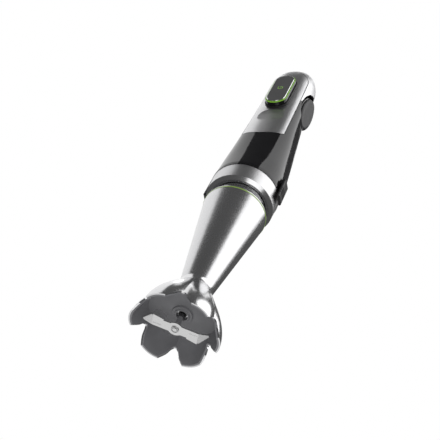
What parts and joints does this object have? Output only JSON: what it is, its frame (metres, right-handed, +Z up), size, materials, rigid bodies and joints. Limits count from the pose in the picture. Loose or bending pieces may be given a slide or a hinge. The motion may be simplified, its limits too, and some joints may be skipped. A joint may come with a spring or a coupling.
{
  "type": "immersion blender",
  "caption": "Hand-held immersion blender: oval motor handle with thumb button and finger trigger, tapered steel shaft and scalloped bell guard over a winged blade.",
  "frame": {"origin": "centre of the bell's rim, in the plane that the rim stands on", "axes": "+Z up the blade and motor axis towards the crown, -Y the thumb panel's side, +Y the finger trigger's side"},
  "size_m": [0.0748, 0.0748, 0.4195],
  "materials": {
    "polished_steel": "mirror polished stainless steel",
    "brushed_steel": "brushed stainless steel",
    "satin_silver": "satin silver finish",
    "satin_ring": "satin ring",
    "chrome_button": "bright plated",
    "gloss_black": "high gloss black plastic",
    "soft_black": "matte soft-touch",
    "matte_black": "matte black plastic",
    "trigger_grey": "fine textured dark grey",
    "liner_grey": "satin grey plastic",
    "green_light": "translucent green",
    "green_trim": "green ring",
    "white_plastic": "natural plastic",
    "motor_steel": "plated steel",
    "laminations": "stacked electrical steel",
    "ferrite": "sintered ferrite or carbon",
    "copper": "copper",
    "bronze": "sintered bronze",
    "spring_steel": "bright steel",
    "circuit": "coated circuit board",
    "seal_rubber": "silicone rubber",
    "blade_steel": "satin stainless steel"
  },
  "bodies": {
    "handle": {"body_shell": "gloss_black", "rear_grip": "soft_black", "trigger_bezel": "gloss_black", "crown_shell": "satin_silver", "front_panel": "satin_silver", "lower_panel": "satin_silver", "button_pedestal": "gloss_black", "button_gasket": "seal_rubber", "light_ring": "green_light", "base_ring": "gloss_black", "socket_ring": "matte_black", "motor_plate": "matte_black", "chassis_screws": "spring_steel", "motor_can": "motor_steel", "motor_magnets": "ferrite", "brush_cap": "matte_black", "carbon_brushes": "ferrite", "lower_bearing": "motor_steel", "upper_bearing": "motor_steel", "motor_damper": "seal_rubber", "circuit_board": "circuit", "motor_leads": "copper", "unlock_switch": "matte_black", "speed_switch": "matte_black", "cord_gland": "matte_black", "release_springs": "spring_steel", "trigger_springs": "spring_steel", "button_spring": "spring_steel"},
    "rotor": {"motor_shaft": "spring_steel", "rotor_core": "laminations", "rotor_windings": "copper", "commutator": "copper", "cooling_fan": "white_plastic", "drive_coupling": "matte_black"},
    "blending_shaft": {"collar_ring": "satin_ring", "bevel_ring": "polished_steel", "coupling_insert": "matte_black", "guide_tube": "brushed_steel", "upper_bush": "bronze", "lower_bush": "bronze", "shaft_seal": "seal_rubber"},
    "bell_tube": {"outer_tube": "brushed_steel", "green_ring": "green_trim", "tube_carrier": "matte_black", "neck_ring": "polished_steel", "bell_shell": "polished_steel", "bell_liner": "liner_grey", "bell_boss": "liner_grey", "boss_seal": "seal_rubber", "active_spring": "spring_steel"},
    "blade_assembly": {"blade": "blade_steel", "blade_rivet": "blade_steel", "blade_spacer": "blade_steel", "drive_shaft": "spring_steel", "driven_coupling": "white_plastic"},
    "unlock_button": {"button_cap": "chrome_button", "button_plunger": "matte_black"},
    "trigger": {"speed_trigger": "trigger_grey"},
    "release_left": {"release_button_left": "soft_black"},
    "release_right": {"release_button_right": "soft_black"}
  },
  "joints": [
    {"name": "motor_spin", "type": "hinge", "parent": "handle", "child": "rotor", "pos_m": [0, 0, 0.24], "axis": [0, 0, 1], "continuous": true},
    {"name": "shaft_release", "type": "slide", "parent": "handle", "child": "blending_shaft", "axis": [0, 0, -1], "range_m": [0, 0.05]},
    {"name": "blade_spin", "type": "hinge", "parent": "blending_shaft", "child": "blade_assembly", "pos_m": [0, 0, 0.1], "axis": [0, 0, 1], "continuous": true},
    {"name": "tube_lift", "type": "slide", "parent": "blending_shaft", "child": "bell_tube", "axis": [0, 0, 1], "range_m": [0, 0.005], "stiffness_N_per_m": 1500, "springref_m": -0.012, "deforming": ["active_spring"]},
    {"name": "unlock_press", "type": "slide", "parent": "handle", "child": "unlock_button", "axis": [0, 1, 0], "range_m": [0, 0.0016], "stiffness_N_per_m": 400, "springref_m": -0.003},
    {"name": "trigger_press", "type": "slide", "parent": "handle", "child": "trigger", "axis": [0, -0.9903, 0.1392], "range_m": [0, 0.0035], "stiffness_N_per_m": 600, "springref_m": -0.003},
    {"name": "release_left_press", "type": "slide", "parent": "handle", "child": "release_left", "axis": [1, 0, 0], "range_m": [0, 0.0015], "stiffness_N_per_m": 800, "springref_m": -0.002},
    {"name": "release_right_press", "type": "slide", "parent": "handle", "child": "release_right", "axis": [-1, 0, 0], "range_m": [0, 0.0015], "stiffness_N_per_m": 800, "springref_m": -0.002}
  ],
  "couplings": [
    {"joint": "blade_spin", "follows": "motor_spin", "ratio": 1}
  ]
}
